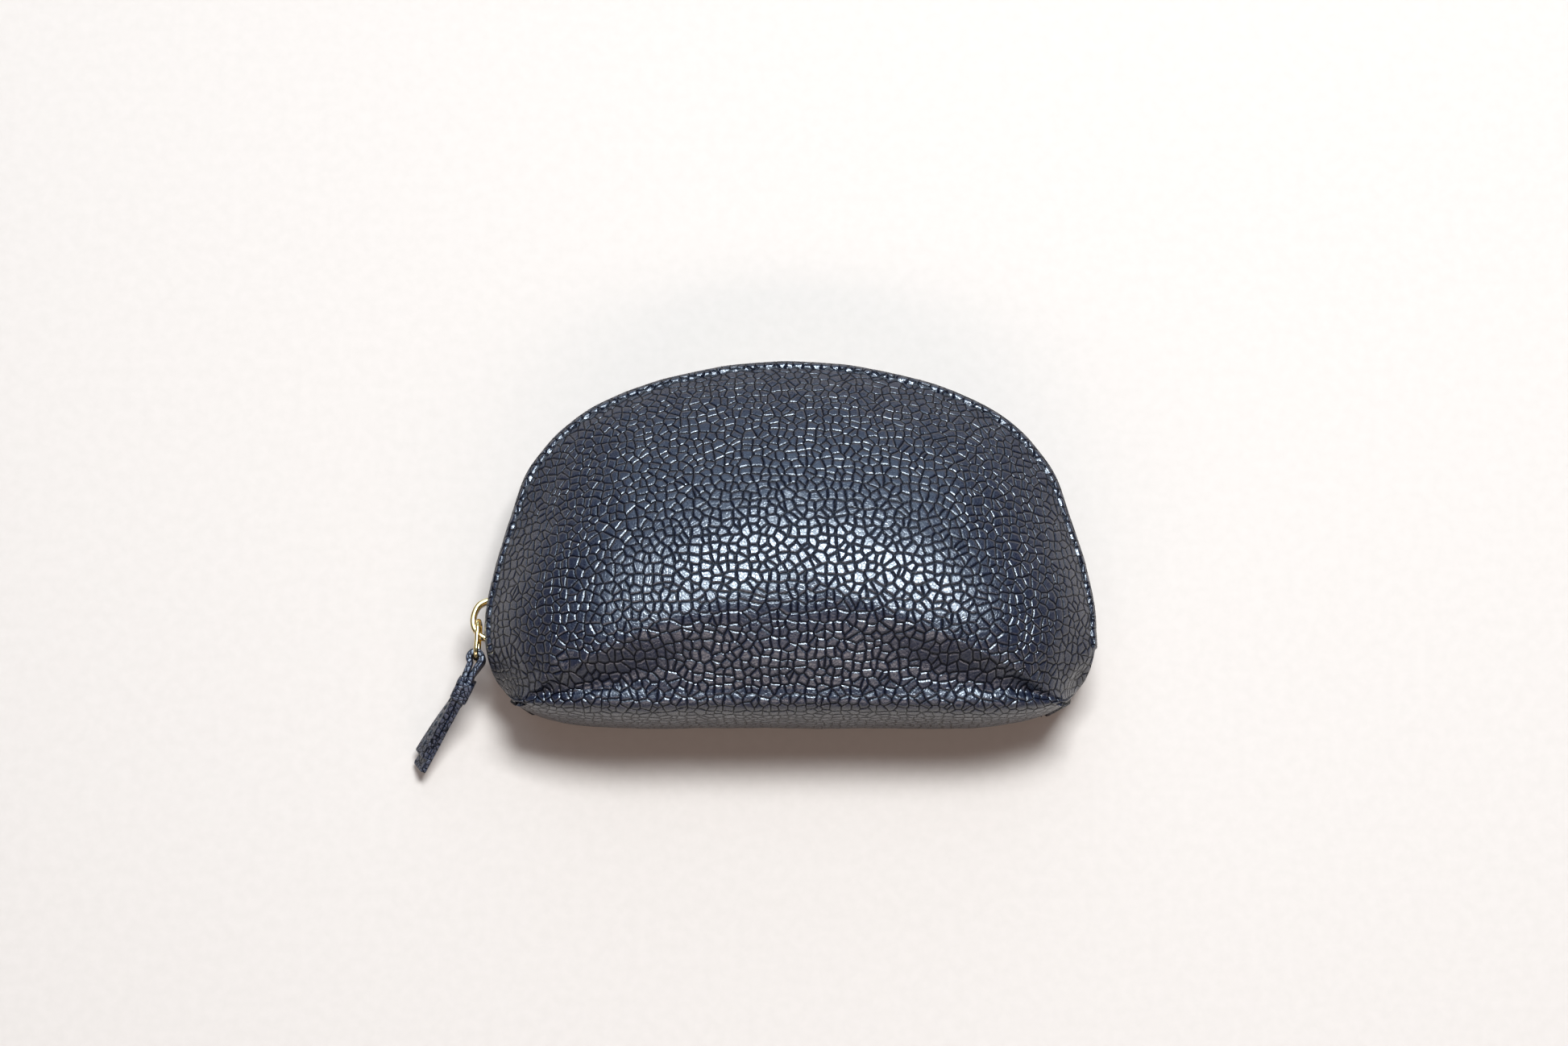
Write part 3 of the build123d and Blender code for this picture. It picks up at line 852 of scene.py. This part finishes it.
crown_line = smooth_line([(-4.6, 1.9), (-4.3, 3.6), (-2.9, 5.5), (-0.4, 6.25), (2.0, 5.9), (3.7, 4.4),
                          (4.3, 2.9), (4.2, 1.9)], 40) * MM
crown_path = [slider_frame @ Vector((x, 0, z)) for x, z in crown_line]
crown_out = [(p - slider_frame @ Vector((0, 0, 1.5 * MM))).normalized() for p in crown_path]
crown = sweep("crown_loop", crown_path, rounded(1.25 * MM, 3.2 * MM, 0.45 * MM), crown_out, gold)

WIRE = 0.55 * MM
ring_way = (ring_bar - ring_pivot).normalized()
ring_run, ring_half, ring_round = (ring_bar - ring_pivot).length, 3.15 * MM, 2.1 * MM
ring_path = []
for sx, sy, start in ((1, 1, 0), (0, 1, 90), (0, -1, 180), (1, -1, 270)):
    centre = ring_pivot + ring_way * (ring_round if sx == 0 else ring_run - ring_round)
    centre = centre + up * sy * (ring_half - ring_round)
    for k in range(13):
        turn = math.radians(start + 90 * k / 12)
        ring_path.append(centre + (ring_way * math.cos(turn) + up * math.sin(turn)) * ring_round)
circle = [(WIRE * math.cos(2 * math.pi * k / 14), WIRE * math.sin(2 * math.pi * k / 14)) for k in range(14)]
ring = sweep("pull_ring_wire", ring_path, circle, [ring_way.cross(up)] * len(ring_path), gold, closed=True)
print("ring length in mm", round(ring_run / MM, 1), "crown points", len(crown.data.vertices))

# %% [markdown]
# ## The strap
# The pull is one strip of the same hide, folded round the ring's far bar. A narrow keeper wraps its two
# layers under the fold, a row of stitches holds them, and the tail turns as it falls towards the table.

# %% Cut and fold the strip
STRIP, STRIP_WIDE = 1.35 * MM, 5.2 * MM
route = [(-72.8, 9.2, 16.0, 0), (-73.5, 6.2, 15.6, 3), (-74.9, 3.2, 14.2, 10), (-77.2, 0.0, 11.6, 19),
         (-80.4, -4.3, 8.2, 28), (-83.4, -8.8, 5.6, 35), (-86.0, -13.0, 4.0, 40)]
TAIL_STEPS = 60
LOOP_END, SHORT_END = 4, 55      # the steps at which the fold meets the tail and the shorter layer stops
tail = smooth_line(route, TAIL_STEPS)
tail_points = [Vector((x * MM, base_y + y * MM, z * MM)) for x, y, z, _ in tail]


def tail_frame(i):
    """Thickness and width directions of the tail at a step."""
    along = (tail_points[min(i + 1, TAIL_STEPS - 1)] - tail_points[max(i - 1, 0)]).normalized()
    thick = along.cross(up).normalized()
    turn = Matrix.Rotation(math.radians(-tail[i][3]), 3, along)
    return turn @ thick, (turn @ thick).cross(along)


fold_at = ring_bar + Vector((-0.10 * MM, 0.12 * MM, 0))
fold_radius = 2.15 * MM - STRIP / 2
fold_from, fold_to = math.radians(-35), math.radians(215)
layer_gap = STRIP / 2 + 0.03 * MM
long_steps = range(TAIL_STEPS - 1, LOOP_END - 1, -1)
short_steps = range(LOOP_END, SHORT_END)
fold = []
for t in np.linspace(0, 1, 26):
    turn = fold_from + (fold_to - fold_from) * t
    fold.append(fold_at + Vector((math.cos(turn), math.sin(turn), 0)) * fold_radius)
strip_path = [tail_points[i] - tail_frame(i)[0] * layer_gap for i in long_steps] + fold
strip_path += [tail_points[i] + tail_frame(i)[0] * layer_gap for i in short_steps]
strip_normals = [tail_frame(i)[0] for i in long_steps]
strip_normals += [(fold_at - p).normalized() for p in fold]
strip_normals += [-tail_frame(i)[0] for i in short_steps]
strap = sweep("pull_strip", strip_path, rounded(STRIP, STRIP_WIDE, 0.35 * MM), strip_normals, strap_hide)
soften = strap.modifiers.new("soften", "SUBSURF")
soften.levels = soften.render_levels = 1
bake(strap)
strip_steps = zip(strip_path, strip_path[1:])
print("strip length in mm", round(sum((b - a).length for a, b in strip_steps) / MM, 1))

# %% Wrap the keeper and sew the tail
keeper_steps = range(7, 19)
keeper = sweep("strap_keeper_band", [tail_points[i] for i in keeper_steps],
               rounded(2 * STRIP + 1.3 * MM, STRIP_WIDE + 0.9 * MM, 0.9 * MM),
               [tail_frame(i)[0] for i in keeper_steps], strap_hide)
for vertex in keeper.data.vertices:
    vertex.co += Vector((0, 0, 0.08 * MM * noise.noise(vertex.co / (1.5 * MM))))
points, faces = [], []
for middle in range(24, 54, 5):
    for side in (-1, 1):
        spots = []
        for i in range(middle - 2, middle + 2):
            thick, wide = tail_frame(i)
            dip = 0.12 * MM if i in (middle - 2, middle + 1) else -0.10 * MM
            spots.append(tail_points[i] + thick * side * (STRIP + 0.03 * MM - dip))
        made, new = tube(spots, [0.2 * MM, 0.24 * MM, 0.24 * MM, 0.2 * MM], 8, up)
        faces += [tuple(v + len(points) for v in face) for face in new]
        points += made
strap_thread = mesh_object("strap_stitches", points, faces, nylon)
print("lowest point of the strip in mm", round(min(p.z for p in strip_path) / MM, 1))

# %% [markdown]
# ## Joining the pieces to the bodies
# The front panel, its lining, tape, teeth and stitches stay fixed where they are built. The rest rides on
# its own body. The CAD parts that the pieces stand for are hidden.

# %% Ride
for piece, node_names, slot_name in (
        (front_leather, ["front_panel", "base_panel"], "leather"),
        (front_lining, ["front_lining"], "lining"),
        (front_tape, ["front_zip_tape"], "tape"), (front_teeth, ["front_zip_teeth"], "teeth"),
        (front_stop, ["front_top_stop"], "teeth"), (front_thread, ["front_topstitch"], "thread")):
    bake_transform(piece)
    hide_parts(*node_names)
for piece, body, node_names, slot_name in (
        (back_leather, "back", ["back_panel"], "leather"),
        (back_lining, "back", ["back_lining"], "lining"),
        (base_lining, "back", ["base_lining"], "lining"),
        (back_tape, "back", ["back_zip_tape"], "tape"), (back_teeth, "back", ["back_zip_teeth"], "teeth"),
        (back_stop, "back", ["back_top_stop"], "teeth"), (end_stop, "back", ["bottom_stop"], "teeth"),
        (back_thread, "back", ["back_topstitch"], "thread"),
        (slider, "slider", ["slider_body"], "gilt_metal"),
        (crown, "slider", ["slider_crown"], "gilt_metal"), (ring, "ring", ["pull_ring"], "gilt_metal"),
        (strap, "strap", ["pull_strap"], "strap_leather"),
        (keeper, "strap", ["strap_keeper"], "strap_leather"), (strap_thread, "strap", [], "thread")):
    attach(piece, body)
    if node_names:
        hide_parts(*node_names)

# %% [markdown]
# ## The board in the base
# A board of pressed fibre lies between the leather and lining of the base and keeps it flat. It is punched
# from a sheet, so it is a flat blank with rounded corners.

# %% Punch the board
board, tree, shader = material("fibre_board", Roughness=0.9)
place = node(tree, "ShaderNodeTexCoord")
fibres = node(tree, "ShaderNodeTexNoise", values={"Scale": 1 / (0.8 * MM), "Detail": 5.0},
              links={"Vector": place.outputs["Object"]})
tone = two_tone(tree, fibres.outputs["Fac"], (0.3, "5c5140"), (0.7, "8a7b62"))
tree.links.new(tone, shader.inputs["Base Color"])
blank = rounded(20 * MM, 100 * MM, 4 * MM, 8)
middle_z = (FOLD_Z + BACK_Z) / 2
board_path = [Vector((0, base_y + y * MM, middle_z)) for y in (-0.9, -0.75, 0.15, 0.3)]
base_board = sweep("fibre_base_board", board_path, blank, [up] * 4, board)
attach(base_board, "back")
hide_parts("base_board")
print("board points", len(base_board.data.vertices))

# %% [markdown]
# ## Studio
# The purse lies on a pale seamless table and is seen from almost straight above. The key softbox hangs
# overhead on the arch side, and its reflection is the soft pale patch on the dome. Three wider ones fill in:
# a weak ceiling, one beyond the arch and one on the base side.

# %% Table, lights and camera
paper, tree, shader = material("studio_table", Roughness=0.95)
place = node(tree, "ShaderNodeTexCoord")
mottle = node(tree, "ShaderNodeTexNoise", values={"Scale": 400.0}, links={"Vector": place.outputs["Object"]})
tone = two_tone(tree, mottle.outputs["Fac"], (0.3, "b4a69a"), (0.7, "b7a99d"))
tree.links.new(tone, shader.inputs["Base Color"])
table = mesh_object("table", [(-3, -3, 0), (3, -3, 0), (3, 3, 0), (-3, 3, 0)], [(0, 1, 2, 3)], paper)

target = Vector((-1.5 * MM, base_y + 42.0 * MM, seam_z))


def softbox(name, place, size, power, tint):
    """A rectangular soft light that faces the purse."""
    light = bpy.data.lights.new(name, "AREA")
    light.shape = "RECTANGLE"
    light.size, light.size_y = size
    light.energy = power
    light.color = tint
    made = bpy.data.objects.new(name, light)
    made.location = place
    made.rotation_euler = (target - made.location).to_track_quat("-Z", "Y").to_euler()
    bpy.context.scene.collection.objects.link(made)
    return made


softbox("key_softbox", Vector((0.13, 0.32, 1.15)), (0.44, 0.28), 31.0, (0.76, 0.88, 1.0))
softbox("ceiling_softbox", Vector((0.0, 0.60, 1.35)), (1.6, 1.0), 9.0, (0.60, 0.79, 1.0))
softbox("arch_fill", Vector((0.0, 1.7, 0.95)), (2.2, 0.9), 10.0, (0.58, 0.78, 1.0))
softbox("front_fill", Vector((0.0, -1.25, 1.05)), (2.4, 0.35), 13.0, (1.0, 0.88, 0.84))

world = bpy.data.worlds.new("room")
bpy.context.scene.world = world
world.use_nodes = True
world.node_tree.nodes["Background"].inputs["Color"].default_value = linear("d2d0e4")
world.node_tree.nodes["Background"].inputs["Strength"].default_value = 0.12

DISTANCE, ELEVATION = 0.90, math.radians(79)
FRAME_WIDTH = 360 * MM      # how much of the table the frame spans at the purse
SENSOR = 36.0
camera = bpy.data.objects.new("camera", bpy.data.cameras.new("camera"))
camera.location = target + Vector((0, -math.cos(ELEVATION), math.sin(ELEVATION))) * DISTANCE
camera.rotation_euler = (target - camera.location).to_track_quat("-Z", "Y").to_euler()
camera.data.sensor_width = SENSOR
camera.data.lens = SENSOR * DISTANCE / FRAME_WIDTH
camera.data.clip_start, camera.data.clip_end = 0.01, 20.0
bpy.context.scene.collection.objects.link(camera)
bpy.context.scene.camera = camera
bpy.context.scene.view_settings.view_transform = "Standard"
print("lens in mm", round(camera.data.lens, 2))
